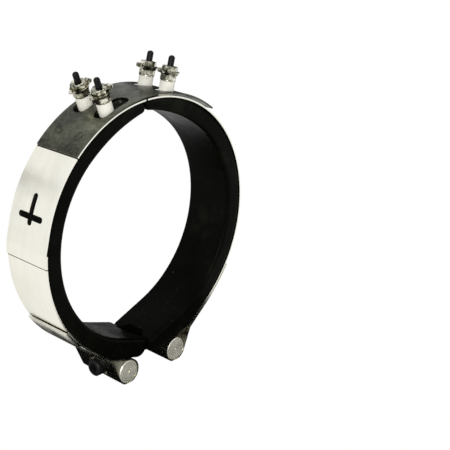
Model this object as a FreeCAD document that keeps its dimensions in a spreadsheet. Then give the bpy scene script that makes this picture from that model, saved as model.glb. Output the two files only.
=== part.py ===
# Band heater: two curved heater halves held by a clamping strap whose ends loop
# round two barrels, drawn together by one socket-head screw.
#
# Frame: +Z up, the ring's axis runs along Y, and the ring stands on its two strap
# loops.  The origin is on the floor, under the middle of the bore.
# Every body is drawn about the ring's axis and then lifted by its Placement.
# Ring angles are in degrees from the top, positive towards +X.
import FreeCAD
import Part
import Sketcher
import math
import os

VEC = FreeCAD.Vector
ORIGIN = (-1, 1)          # the sketch's own origin, as (geometry, point)

# ---------------------------------------------------------------- driving sizes
SIZES = [
    # heater halves
    ("bore_radius", 76.2, "radius of the bore that the heater grips"),
    ("heater_thickness", 12.0, "from the bore to the strap"),
    ("heater_width", 38.1, "along the ring's axis"),
    ("sheath_wall", 1.2, "sheet round the insulation"),
    ("edge_rounding", 2.7, "long edges of the sheath"),
    ("end_corner", 2.9, "corners of a half's end, seen along the axis"),
    ("top_rounding", 3.4, "outer corner of a half at the top gap"),
    ("end_rounding", 7.0, "outer corner of a half beside its barrel"),
    ("end_slope", 20.0, "angle of the straight run-out at the lower end of the bore"),
    ("top_run_angle", 38.0, "ring angle where the bore starts to widen at the top"),
    ("top_run_radius", 108.0, "wider arc from there to the top gap"),
    ("top_shift", 2.2, "the top gap lies this far to the left"),
    ("top_gap", 1.6, "between the halves at the top"),
    ("bottom_shift", 3.4, "the bottom gap lies this far to the left"),
    ("bottom_gap", 3.0, "between the halves at the bottom"),
    ("window_length", 13.0, "window between the two halves, along the axis"),
    ("window_depth", 5.0, "how far the window cuts into each half"),
    ("window_flare", 4.0, "how much longer the window is at its mouth, each side"),
    ("screw_relief", 1.2, "room round the screw where it passes under the ends"),
    # resistance ribbon
    ("element_radius", 80.4, "inner face of the ribbon"),
    ("element_thickness", 0.6, "ribbon"),
    ("element_width", 32.0, "over both legs"),
    ("element_slit", 12.0, "between the legs"),
    ("element_end_angle", 158.0, "ring angle of the ribbon's closed end"),
    ("element_bridge_angle", 8.0, "ring angle that joins the legs"),
    # clamping strap
    ("strap_thickness", 1.0, "sheet"),
    ("seam_angle", 89.8, "ring angle of the upper strap's end"),
    ("lap_angle", 5.5, "how far the two straps overlap"),
    ("joggle_angle", 7.0, "length of the step up on to the lower strap"),
    ("leave_angle", 141.0, "ring angle where the straps leave the circle"),
    ("run_out", 21.5, "straight run from there to the strap's bend"),
    ("run_bend", 3.0, "inner radius of that bend"),
    ("tail_angle", 123.0, "ring angle of the folded-back tail's end"),
    ("tail_gap", 0.6, "between the tail and the strap"),
    ("tail_bend", 1.6, "inner radius of the tail's bend"),
    ("tail_run", 24.5, "straight run of the tail to its bend"),
    ("loop_window", 15.6, "round window through each loop for the screw"),
    # cross-shaped slot
    ("cross_angle", 71.5, "ring angle of the crossing"),
    ("cross_slot_width", 4.0, "both slots"),
    ("cross_axial_length", 22.5, "slot along the axis"),
    ("cross_upper_length", 15.0, "from the crossing up the strap"),
    ("cross_lower_length", 5.6, "from the crossing down the strap"),
    # barrels and screw
    ("barrel_diameter", 16.4, "both barrels"),
    ("barrel_play", 0.1, "between a barrel and its loop"),
    ("barrel_spacing", 45.4, "between the barrels' axes"),
    ("barrel_drop", 97.6, "from the ring's axis down to the barrels"),
    ("barrel_chamfer", 0.7, "ends of the barrels"),
    ("barrel_centre_mark", 2.0, "diameter of the turned centre in each end"),
    ("screw_diameter", 7.94, "clamp screw, five sixteenths of an inch"),
    ("screw_rise", 1.2, "the screw's axis above the barrels' axes"),
    ("screw_clearance", 0.3, "radial, in the left barrel"),
    ("thread_play", 0.05, "radial, in the right barrel"),
    ("screw_length", 65.0, "under the head"),
    ("head_diameter", 11.9, "socket head"),
    ("head_height", 7.9, "socket head"),
    ("socket_flats", 6.35, "across the flats"),
    ("socket_depth", 4.0, "hexagon socket"),
    ("seat_depth", 0.8, "flat on the left barrel under the head"),
    ("seat_diameter", 13.6, "flat on the left barrel under the head"),
    # terminal plate
    ("plate_thickness", 1.0, "sheet"),
    ("plate_left_angle", 43.2, "ring angle of its welded end"),
    ("plate_right_angle", 39.9, "ring angle of its free end"),
    ("plate_lift", 2.0, "how far its free right end stands off the strap"),
    ("slot_width", 11.6, "slots for the terminals"),
    ("left_slot_start", 24.3, "ring angle, left of the top"),
    ("left_slot_end", 7.2, "ring angle, left of the top"),
    ("right_slot_start", 9.0, "ring angle, right of the top"),
    ("right_slot_end", 22.0, "ring angle, right of the top"),
    ("weld_angle", 34.7, "ring angle of the two spot welds"),
    ("weld_half_pitch", 9.6, "from the middle to each weld"),
    ("weld_diameter", 6.2, "outside of the ring mark"),
    ("weld_groove", 0.7, "width of the ring mark"),
    ("weld_depth", 0.3, "ring mark"),
    # terminals, heights measured along the stud from the sheath
    ("left_terminal_angle", 18.6, "ring angle, left of the top"),
    ("right_terminal_angle", 15.2, "ring angle, right of the top"),
    ("terminal_half_pitch", 9.8, "from the middle to each terminal"),
    ("stud_diameter", 4.83, "number 10 stud"),
    ("stud_end_diameter", 4.2, "free end above the upper nut"),
    ("stud_play", 0.06, "radial, inside nuts and washers"),
    ("stud_head_diameter", 8.0, "welded to the ribbon"),
    ("stud_head_height", 1.2, "welded to the ribbon"),
    ("stud_tip", 6.9, "free end above the upper nut"),
    ("bushing_diameter", 9.8, "ceramic"),
    ("bushing_height", 9.3, "above the sheath"),
    ("bushing_bore", 5.1, "ceramic"),
    ("bushing_neck", 7.0, "diameter through the sheath wall"),
    ("bushing_chamfer", 0.5, "upper rim"),
    ("hole_play", 0.3, "radial, round bushings and stud heads"),
    ("washer_diameter", 10.4, "plain washer"),
    ("washer_thickness", 0.6, "plain washer"),
    ("nut_flats", 9.53, "across the flats"),
    ("nut_height", 3.3, "lower nut"),
    ("upper_nut_height", 4.9, "upper nut, its foot sunk in the cup"),
    ("nut_bevel", 0.45, "height of the bevel on a nut's corners"),
    ("cup_diameter", 13.4, "rim of the cupped tab washer"),
    ("cup_thickness", 0.8, "its sheet"),
    ("cup_floor", 11.0, "diameter of its flat floor"),
    ("cup_rim", 2.4, "height of its rim"),
    ("tab_reach", 9.0, "point of its tab, from the stud's axis"),
    ("tab_width", 6.0, "root of the tab"),
    ("ear_width", 4.4, "curled ear opposite the tab"),
    ("ear_curl", 3.0, "outer diameter of the curl"),
]
SIZE = {name: value for name, value, note in SIZES}


def build_sheet(doc):
    """Write every driving size into the spreadsheet, one aliased row each."""
    sheet = doc.addObject("Spreadsheet::Sheet", "Sizes")
    for row, (name, value, note) in enumerate(SIZES, start=1):
        sheet.set("A%d" % row, name)
        sheet.set("B%d" % row, repr(value))
        sheet.set("C%d" % row, note)
        sheet.setAlias("B%d" % row, name)
    doc.recompute()
    return sheet


# ------------------------------------------------------------- sizes worked out
HEATER_RADIUS = SIZE["bore_radius"] + SIZE["heater_thickness"]
STRAP_RADIUS = HEATER_RADIUS + SIZE["strap_thickness"]
BARREL_RADIUS = SIZE["barrel_diameter"] / 2
LOOP_RADIUS = BARREL_RADIUS + SIZE["barrel_play"]
BARREL_X = SIZE["barrel_spacing"] / 2

# the same sums for the expressions
HEATER_R = "(Sizes.bore_radius + Sizes.heater_thickness)"
STRAP_R = "(Sizes.bore_radius + Sizes.heater_thickness + Sizes.strap_thickness)"
LOOP_R = "(Sizes.barrel_diameter / 2 + Sizes.barrel_play)"
RING_UP = "(Sizes.barrel_drop + %s + Sizes.strap_thickness)" % LOOP_R


# ------------------------------------------------- the straps' path, seen along Y
# A path runs smoothly round circles: (centre, radius, way), way -1 for clockwise.
# Faces turned to the ring and away from it differ only in the circles' radii.
def leave_point(radius, run):
    """A point beside the straight run-out, this far from the ring's axis across it."""
    turn = math.radians(SIZE["leave_angle"])
    return (radius * math.sin(turn) + run * math.cos(turn),
            radius * math.cos(turn) - run * math.sin(turn))


def leave_text(radius, run):
    return ("(%s) * sin(Sizes.leave_angle) + (%s) * cos(Sizes.leave_angle)" % (radius, run),
            "(%s) * cos(Sizes.leave_angle) - (%s) * sin(Sizes.leave_angle)" % (radius, run))


BEND = leave_point(HEATER_RADIUS - SIZE["run_bend"], SIZE["run_out"])
BEND_TEXT = leave_text(HEATER_R + " - Sizes.run_bend", "Sizes.run_out")
TAIL_RADIUS = STRAP_RADIUS + SIZE["tail_gap"]
TAIL_R = "(%s + Sizes.tail_gap)" % STRAP_R
TAIL_BEND = leave_point(TAIL_RADIUS + SIZE["strap_thickness"] + SIZE["tail_bend"],
                        SIZE["tail_run"])
TAIL_BEND_TEXT = leave_text(TAIL_R + " + Sizes.strap_thickness + Sizes.tail_bend",
                            "Sizes.tail_run")
BARREL = (BARREL_X, -SIZE["barrel_drop"])
BARREL_TEXT = ("Sizes.barrel_spacing / 2", "-Sizes.barrel_drop")


def touching_line(one, other):
    """Ends of the line that runs smoothly from one circle of a path to the next."""
    (c1, r1, w1), (c2, r2, w2) = one, other
    across, along = c2[0] - c1[0], c2[1] - c1[1]
    lean = math.acos((w2 * r2 - w1 * r1) / math.hypot(across, along))
    normal = math.atan2(along, across) + lean
    unit = (math.cos(normal), math.sin(normal))
    return ((c1[0] - w1 * r1 * unit[0], c1[1] - w1 * r1 * unit[1]),
            (c2[0] - w2 * r2 * unit[0], c2[1] - w2 * r2 * unit[1]))


# ------------------------------------------------------------------ small tools
def polar(radius, angle, centre=(0.0, 0.0)):
    """A point at a ring angle (degrees from the top, clockwise)."""
    return (centre[0] + radius * math.sin(math.radians(angle)),
            centre[1] + radius * math.cos(math.radians(angle)))


def plane_of(body, role):
    return [item for item in body.Origin.OriginFeatures if item.Role == role][0]


def new_body(doc, label, lifted=True):
    body = doc.addObject("PartDesign::Body", label)
    body.Label = label
    if lifted:
        body.setExpression("Placement.Base.z", RING_UP)
    return body


def attach(body, name, role, offset=None):
    sketch = body.newObject("Sketcher::SketchObject", name)
    sketch.AttachmentSupport = [(plane_of(body, role), "")]
    sketch.MapMode = "FlatFace"
    if offset is not None:
        sketch.AttachmentOffset = offset
    return sketch


def radial_sketch(body, name, side, angle, radius, angle_text, radius_text):
    """A sketch square to the ring's radius at this angle; its y runs along the axis."""
    out = polar(radius, side * angle)
    turn = FreeCAD.Rotation(VEC(0, side, 0), angle)
    sketch = attach(body, name, "XY_Plane", FreeCAD.Placement(VEC(out[0], 0, out[1]), turn))
    sketch.setExpression("AttachmentOffset.Base.x",
                         "%d * (%s) * sin(%s)" % (side, radius_text, angle_text))
    sketch.setExpression("AttachmentOffset.Base.z", "(%s) * cos(%s)" % (radius_text, angle_text))
    sketch.setExpression("AttachmentOffset.Rotation.Angle", angle_text)
    return sketch


class Outline:
    """A closed outline traced element by element, then dimensioned from the sheet."""

    def __init__(self, sketch, mirror=1):
        self.sketch = sketch
        self.mirror = mirror      # -1 draws the same outline on the left
        self.items = []           # (geometry index, first point, last point, headings)
        self.count = 0

    def _point(self, point):
        return VEC(self.mirror * point[0], point[1], 0)

    def line(self, start, end):
        index = self.sketch.addGeometry(
            Part.LineSegment(self._point(start), self._point(end)), False)
        heading = math.atan2(end[1] - start[1], end[0] - start[0])
        self.items.append((index, 1, 2, heading, heading))
        return index

    def arc(self, centre, radius, start, end, clockwise):
        """start and end are points; the arc is traced from one to the other."""
        a = math.atan2(start[1] - centre[1], start[0] - centre[0])
        b = math.atan2(end[1] - centre[1], end[0] - centre[0])
        turn = -math.pi / 2 if clockwise else math.pi / 2
        headings = (a + turn, b + turn)
        if self.mirror < 0:
            a, b = math.pi - a, math.pi - b
            clockwise = not clockwise
        circle = Part.Circle(self._point(centre), VEC(0, 0, 1), radius)
        first, last = (b, a) if clockwise else (a, b)
        if last < first:
            last += 2 * math.pi
        index = self.sketch.addGeometry(Part.ArcOfCircle(circle, first, last), False)
        ends = (2, 1) if clockwise else (1, 2)
        self.items.append((index, ends[0], ends[1], headings[0], headings[1]))
        return index

    def close(self):
        """Join each element to the next, smoothly where their headings agree."""
        for this, following in zip(self.items, self.items[1:] + self.items[:1]):
            bend = (following[3] - this[4] + math.pi) % (2 * math.pi) - math.pi
            kind = "Tangent" if abs(bend) < 1e-6 else "Coincident"
            self.sketch.addConstraint(
                Sketcher.Constraint(kind, this[0], this[2], following[0], following[1]))

    def _bind(self, constraint, expression):
        number = self.sketch.addConstraint(constraint)
        self.count += 1
        name = "size%d" % self.count
        self.sketch.renameConstraint(number, name)
        self.sketch.setExpression("Constraints." + name, expression)

    def ends(self, index):
        for item in self.items:
            if item[0] == index:
                return (index, item[1]), (index, item[2])
        raise KeyError(index)

    def _where(self, ref):
        return self.sketch.getPoint(*ref)

    def radius(self, index, expression):
        value = self.sketch.Geometry[index].Radius
        self._bind(Sketcher.Constraint("Radius", index, value), expression)

    def centred(self, *indices):
        for index in indices:
            self.sketch.addConstraint(
                Sketcher.Constraint("Coincident", index, 3, ORIGIN[0], ORIGIN[1]))

    def same_centre(self, one, other):
        self.sketch.addConstraint(Sketcher.Constraint("Coincident", one, 3, other, 3))

    def across(self, ref, expression):
        """Distance of a point from the middle, counted away from the mirror side."""
        value = self._where(ref).x
        sign = "" if self.mirror > 0 else "-"
        self._bind(Sketcher.Constraint("DistanceX", ORIGIN[0], ORIGIN[1], ref[0], ref[1], value),
                   "%s(%s)" % (sign, expression))

    def up(self, ref, expression):
        value = self._where(ref).y
        self._bind(Sketcher.Constraint("DistanceY", ORIGIN[0], ORIGIN[1], ref[0], ref[1], value),
                   expression)

    def centre_at(self, index, texts):
        self.across((index, 3), texts[0])
        self.up((index, 3), texts[1])

    def guide(self, centre, radius, radius_text, texts, line):
        """A construction circle that the line runs past, just touching."""
        index = self.sketch.addGeometry(
            Part.Circle(self._point(centre), VEC(0, 0, 1), radius), True)
        self.radius(index, radius_text)
        self.centre_at(index, texts)
        self.sketch.addConstraint(Sketcher.Constraint("Tangent", line, index))

    def upright(self, *indices):
        for index in indices:
            self.sketch.addConstraint(Sketcher.Constraint("Vertical", index))

    def level(self, *indices):
        for index in indices:
            self.sketch.addConstraint(Sketcher.Constraint("Horizontal", index))

    def parallel(self, one, other):
        self.sketch.addConstraint(Sketcher.Constraint("Parallel", one, other))

    def radial(self, index):
        """The line points at the ring's axis."""
        self.sketch.addConstraint(
            Sketcher.Constraint("PointOnObject", ORIGIN[0], ORIGIN[1], index))


def finish_sketch(sketch):
    sketch.recompute()
    if sketch.solve() != 0:
        raise RuntimeError("%s does not solve: %s" % (sketch.Label, sketch.solve()))


def pad(body, sketch, name, length, symmetric=True, reverse=False):
    feature = body.newObject("PartDesign::Pad", name)
    feature.Profile = sketch
    feature.SideType = "Symmetric" if symmetric else "One side"
    feature.Reversed = reverse
    feature.setExpression("Length", length)
    return feature


def pocket(body, sketch, name, length, symmetric=False, reverse=False):
    feature = body.newObject("PartDesign::Pocket", name)
    feature.Profile = sketch
    feature.SideType = "Symmetric" if symmetric else "One side"
    feature.Reversed = reverse
    feature.setExpression("Length", length)
    return feature


def circle(sketch, centre, diameter_name, bind_centre=None):
    """A circle; bind_centre gives (x expression, y expression) for its middle."""
    index = sketch.addGeometry(
        Part.Circle(VEC(centre[0], centre[1], 0), VEC(0, 0, 1), diameter_name[0] / 2), False)
    number = sketch.addConstraint(Sketcher.Constraint("Diameter", index, diameter_name[0]))
    name = "diameter%d" % index
    sketch.renameConstraint(number, name)
    sketch.setExpression("Constraints." + name, diameter_name[1])
    if bind_centre is None:
        sketch.addConstraint(Sketcher.Constraint("Coincident", index, 3, ORIGIN[0], ORIGIN[1]))
        return index
    for kind, value, expression in zip(("DistanceX", "DistanceY"), centre, bind_centre):
        number = sketch.addConstraint(
            Sketcher.Constraint(kind, ORIGIN[0], ORIGIN[1], index, 3, value))
        name = "%s%d" % (kind, index)
        sketch.renameConstraint(number, name)
        sketch.setExpression("Constraints." + name, expression)
    return index


def terminal_drill(doc, label, side, angle, angle_text, radius, radius_text, diameter,
                   diameter_text, length_text):
    """Two radial cylinders at the terminals' places, used as a cutting tool."""
    body = new_body(doc, label)
    sketch = radial_sketch(body, label + "_circles", side, angle, radius, angle_text, radius_text)
    pitch = SIZE["terminal_half_pitch"]
    for way in (-1, 1):
        circle(sketch, (0, way * pitch), (diameter, diameter_text),
               ("0", "%d * Sizes.terminal_half_pitch" % way))
    finish_sketch(sketch)
    pad(body, sketch, label + "_length", length_text, symmetric=False)
    doc.recompute()
    return body


def trace_closed(sketch, points):
    """A closed outline of straight lines; points are (x value, x text, y value, y text)."""
    lines = []
    total = len(points)
    for number, (x, _, y, _) in enumerate(points):
        x2, _, y2, _ = points[(number + 1) % total]
        lines.append(sketch.addGeometry(Part.LineSegment(VEC(x, y, 0), VEC(x2, y2, 0)), False))
    for number in range(total):
        sketch.addConstraint(Sketcher.Constraint(
            "Coincident", lines[number], 2, lines[(number + 1) % total], 1))
    for number, (x, x_text, y, y_text) in enumerate(points):
        for kind, value, text in (("DistanceX", x, x_text), ("DistanceY", y, y_text)):
            index = sketch.addConstraint(Sketcher.Constraint(
                kind, ORIGIN[0], ORIGIN[1], lines[number], 1, value))
            name = "%s%d" % (kind, number)
            sketch.renameConstraint(index, name)
            sketch.setExpression("Constraints." + name, text)
    finish_sketch(sketch)
    return lines


# ---------------------------------------------------------------- heater halves
def half_outline(sketch, side, inset, inset_text):
    """One half seen along the axis; inset draws the cavity inside the sheath wall."""
    slope = math.radians(SIZE["end_slope"])
    inner, outer = SIZE["bore_radius"] + inset, HEATER_RADIUS - inset
    corner, rounding = SIZE["end_corner"] - inset, SIZE["end_rounding"] - inset
    top_round = SIZE["top_rounding"] - inset
    top = -side * SIZE["top_shift"] + SIZE["top_gap"] / 2 + inset
    bottom = -side * SIZE["bottom_shift"] + SIZE["bottom_gap"] / 2 + inset
    strap_side = LOOP_RADIUS + SIZE["strap_thickness"] + inset
    bend = (BEND, SIZE["run_bend"] - inset, -1)
    leave, bend_start = touching_line(((0.0, 0.0), outer, -1), bend)
    bend_end, run_end = touching_line(bend, (BARREL, strap_side, 1))
    run = math.atan2(run_end[1] - bend_end[1], run_end[0] - bend_end[0])
    strap = (math.sin(run), -math.cos(run))      # square to the run, towards the ring
    reach = BARREL[0] * strap[0] + BARREL[1] * strap[1] + strap_side
    flat = (math.sin(slope), math.cos(slope))

    wide = SIZE["top_run_radius"] + inset
    wide_centre = polar(inner - wide, SIZE["top_run_angle"])
    top_x = top + corner
    top_inner = (top_x, wide_centre[1]
                 + math.sqrt((wide + corner) ** 2 - (top_x - wide_centre[0]) ** 2))
    low_x = bottom + corner
    bottom_inner = (low_x, (low_x * flat[0] - inner - corner) / flat[1])
    middle = bottom + rounding
    bottom_outer = (middle, (reach + rounding - middle * strap[0]) / strap[1])
    top_outer_x = top + top_round
    top_outer = (top_outer_x, math.sqrt((outer - top_round) ** 2 - top_outer_x ** 2))
    rim = math.hypot(*top_outer)

    tangent_top = polar(inner, SIZE["top_run_angle"])
    tangent_bottom = (inner * flat[0], -inner * flat[1])
    reach_in = wide / (wide + corner)
    corner_a = (wide_centre[0] + (top_inner[0] - wide_centre[0]) * reach_in,
                wide_centre[1] + (top_inner[1] - wide_centre[1]) * reach_in)
    corner_b = (bottom_inner[0] - flat[0] * corner, bottom_inner[1] + flat[1] * corner)
    corner_c = (bottom_outer[0] - strap[0] * rounding, bottom_outer[1] - strap[1] * rounding)
    corner_d = (top_outer[0] * outer / rim, top_outer[1] * outer / rim)

    draw = Outline(sketch, side)
    run_top = draw.arc(wide_centre, wide, corner_a, tangent_top, True)
    bore = draw.arc((0, 0), inner, tangent_top, tangent_bottom, True)
    run_bottom = draw.line(tangent_bottom, corner_b)
    inner_corner = draw.arc(bottom_inner, corner, corner_b, (bottom, bottom_inner[1]), False)
    end_bottom = draw.line((bottom, bottom_inner[1]), (bottom, bottom_outer[1]))
    end_round = draw.arc(bottom_outer, rounding, (bottom, bottom_outer[1]), corner_c, False)
    run_outer = draw.line(corner_c, bend_end)
    knee = draw.arc(BEND, bend[1], bend_end, bend_start, False)
    run_out = draw.line(bend_start, leave)
    back = draw.arc((0, 0), outer, leave, corner_d, False)
    outer_corner = draw.arc(top_outer, top_round, corner_d, (top, top_outer[1]), False)
    end_top = draw.line((top, top_outer[1]), (top, top_inner[1]))
    top_corner = draw.arc(top_inner, corner, (top, top_inner[1]), corner_a, False)
    draw.close()
    draw.centred(bore, back)
    draw.upright(end_bottom, end_top)
    draw.radius(bore, "Sizes.bore_radius + " + inset_text)
    draw.radius(back, HEATER_R + " - " + inset_text)
    for item in (inner_corner, top_corner):
        draw.radius(item, "Sizes.end_corner - " + inset_text)
    draw.radius(end_round, "Sizes.end_rounding - " + inset_text)
    draw.radius(outer_corner, "Sizes.top_rounding - " + inset_text)
    draw.radius(knee, "Sizes.run_bend - " + inset_text)
    draw.centre_at(knee, BEND_TEXT)
    draw.guide(BARREL, strap_side,
               LOOP_R + " + Sizes.strap_thickness + " + inset_text, BARREL_TEXT, run_outer)
    sign = "-" if side > 0 else ""
    draw.across(draw.ends(end_top)[0],
                "%sSizes.top_shift + Sizes.top_gap / 2 + %s" % (sign, inset_text))
    draw.across(draw.ends(end_bottom)[0],
                "%sSizes.bottom_shift + Sizes.bottom_gap / 2 + %s" % (sign, inset_text))
    inner_text = "(Sizes.bore_radius + %s)" % inset_text
    draw.radius(run_top, "Sizes.top_run_radius + " + inset_text)
    draw.across(draw.ends(bore)[0], inner_text + " * sin(Sizes.top_run_angle)")
    draw.across(draw.ends(run_bottom)[0], inner_text + " * sin(Sizes.end_slope)")
    finish_sketch(sketch)


def long_edges(shape, half_width):
    """Names of the edges that lie in the two flat flanks."""
    names = []
    for number, edge in enumerate(shape.Edges, start=1):
        box = edge.BoundBox
        if box.YLength < 1e-6 and abs(abs(box.YMin) - half_width) < 1e-6:
            names.append("Edge%d" % number)
    return names


def half_solid(doc, label, side, inset, inset_text):
    """Outline, width and rounded flank edges of a half, or of the cavity inside it."""
    body = new_body(doc, label)
    sketch = attach(body, label + "_outline", "XZ_Plane")
    half_outline(sketch, side, inset, inset_text)
    block = pad(body, sketch, label + "_width", "Sizes.heater_width - 2 * " + inset_text)
    doc.recompute()
    rounding = body.newObject("PartDesign::Fillet", label + "_edges")
    rounding.Base = (block, long_edges(block.Shape, SIZE["heater_width"] / 2 - inset))
    rounding.setExpression("Radius", "Sizes.edge_rounding - " + inset_text)
    doc.recompute()
    return body


def window_notch(doc, body, side, inset, inset_text, label):
    """Half of the window between the lower ends, wider at its mouth."""
    sketch = attach(body, label + "_window", "XY_Plane",
                    FreeCAD.Placement(VEC(0, 0, -SIZE["bore_radius"] / 2), FreeCAD.Rotation()))
    sketch.setExpression("AttachmentOffset.Base.z", "-Sizes.bore_radius / 2")
    mouth = -side * SIZE["bottom_shift"] + SIZE["bottom_gap"] / 2 + inset
    mouth_text = "%sSizes.bottom_shift + Sizes.bottom_gap / 2 + %s" % (
        "-" if side > 0 else "", inset_text)
    deep, deep_text = mouth + SIZE["window_depth"], mouth_text + " + Sizes.window_depth"
    free, free_text = mouth - SIZE["bottom_gap"], mouth_text + " - Sizes.bottom_gap"
    half = SIZE["window_length"] / 2 + inset
    half_text = "(Sizes.window_length / 2 + %s)" % inset_text
    flare, flare_text = half + SIZE["window_flare"], "(%s + Sizes.window_flare)" % half_text

    def out(value, text):
        return side * value, "%d * (%s)" % (side, text)

    trace_closed(sketch, [
        (*out(free, free_text), -flare, "-" + flare_text),
        (*out(mouth, mouth_text), -flare, "-" + flare_text),
        (*out(deep, deep_text), -half, "-" + half_text),
        (*out(deep, deep_text), half, half_text),
        (*out(mouth, mouth_text), flare, flare_text),
        (*out(free, free_text), flare, flare_text)])
    pocket(body, sketch, label + "_window_cut", "Sizes.bore_radius")
    doc.recompute()


def screw_channel(doc, body, inset, inset_text, label):
    """Round channel under the end of a half, where the clamp screw passes."""
    sketch = attach(body, label + "_channel_circle", "YZ_Plane")
    radius = SIZE["screw_diameter"] / 2 + SIZE["screw_relief"] + inset
    circle(sketch, (0, SIZE["screw_rise"] - SIZE["barrel_drop"]),
           (2 * radius, "Sizes.screw_diameter + 2 * Sizes.screw_relief + 2 * " + inset_text),
           ("0", "Sizes.screw_rise - Sizes.barrel_drop"))
    finish_sketch(sketch)
    pocket(body, sketch, label + "_channel", "2 * Sizes.bore_radius", symmetric=True)
    doc.recompute()


def sector(sketch, side, inner, outer, start, end, texts):
    """A ring sector between two radii and two ring angles."""
    inner_text, outer_text, start_text, end_text = texts
    draw = Outline(sketch, side)
    face = draw.arc((0, 0), outer, polar(outer, start), polar(outer, end), True)
    cap = draw.line(polar(outer, end), polar(inner, end))
    back = draw.arc((0, 0), inner, polar(inner, end), polar(inner, start), False)
    base = draw.line(polar(inner, start), polar(outer, start))
    draw.close()
    draw.centred(face, back)
    draw.radius(face, outer_text)
    draw.radius(back, inner_text)
    draw.radial(cap)
    draw.radial(base)
    draw.up(draw.ends(cap)[0], "(%s) * cos(%s)" % (outer_text, end_text))
    draw.across(draw.ends(base)[0], "(%s) * sin(%s)" % (inner_text, start_text))
    finish_sketch(sketch)


def build_element(doc, name, side, start_angle, start_text):
    """Hairpin of resistance ribbon, bent to the ring."""
    body = new_body(doc, name)
    inner = SIZE["element_radius"]
    outer = inner + SIZE["element_thickness"]
    outer_text = "Sizes.element_radius + Sizes.element_thickness"
    sheet = attach(body, name + "_outline", "XZ_Plane")
    sector(sheet, side, inner, outer, start_angle, SIZE["element_end_angle"],
           ("Sizes.element_radius", outer_text, start_text, "Sizes.element_end_angle"))
    pad(body, sheet, name + "_ribbon", "Sizes.element_width")
    slit = attach(body, name + "_slit_outline", "XZ_Plane")
    margin = 1.0
    sector(slit, side, inner - margin, outer + margin, start_angle - margin,
           SIZE["element_end_angle"] - SIZE["element_bridge_angle"],
           ("Sizes.element_radius - 1", outer_text + " + 1", start_text + " - 1",
            "Sizes.element_end_angle - Sizes.element_bridge_angle"))
    pocket(body, slit, name + "_slit", "Sizes.element_slit", symmetric=True)
    doc.recompute()
    return body


def cut(doc, label, base, tool):
    feature = doc.addObject("Part::Cut", label)
    feature.Label = label
    feature.Base = base
    feature.Tool = tool
    doc.recompute()
    return feature


def build_half(doc, name, side, angle, angle_text):
    """Sheath, insulation core and ribbon of one half."""
    wall = SIZE["sheath_wall"]
    play = 2 * SIZE["hole_play"]
    shell = half_solid(doc, name + "_shell", side, 0.0, "0")
    window_notch(doc, shell, side, 0.0, "0", name + "_shell")
    screw_channel(doc, shell, 0.0, "0", name + "_shell")
    filling = half_solid(doc, name + "_filling", side, wall, "Sizes.sheath_wall")
    window_notch(doc, filling, side, wall, "Sizes.sheath_wall", name + "_filling")
    screw_channel(doc, filling, wall, "Sizes.sheath_wall", name + "_filling")
    hollow = cut(doc, name + "_hollow", shell, filling)
    necks = terminal_drill(
        doc, name + "_neck_drill", side, angle, angle_text,
        SIZE["bore_radius"] + SIZE["heater_thickness"] / 2,
        "Sizes.bore_radius + Sizes.heater_thickness / 2",
        SIZE["bushing_neck"] + play, "Sizes.bushing_neck + 2 * Sizes.hole_play",
        "Sizes.heater_thickness")
    sheath = cut(doc, "sheath_" + name, hollow, necks)

    element = build_element(doc, "element_" + name, side, angle - 4.0, angle_text + " - 4")
    grooved = cut(doc, name + "_grooved", filling, element)
    heads = terminal_drill(
        doc, name + "_head_drill", side, angle, angle_text,
        SIZE["element_radius"] + SIZE["element_thickness"],
        "Sizes.element_radius + Sizes.element_thickness",
        SIZE["stud_head_diameter"] + play, "Sizes.stud_head_diameter + 2 * Sizes.hole_play",
        "Sizes.heater_thickness")
    core = cut(doc, "core_" + name, grooved, heads)
    return [sheath, core, element]


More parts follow.
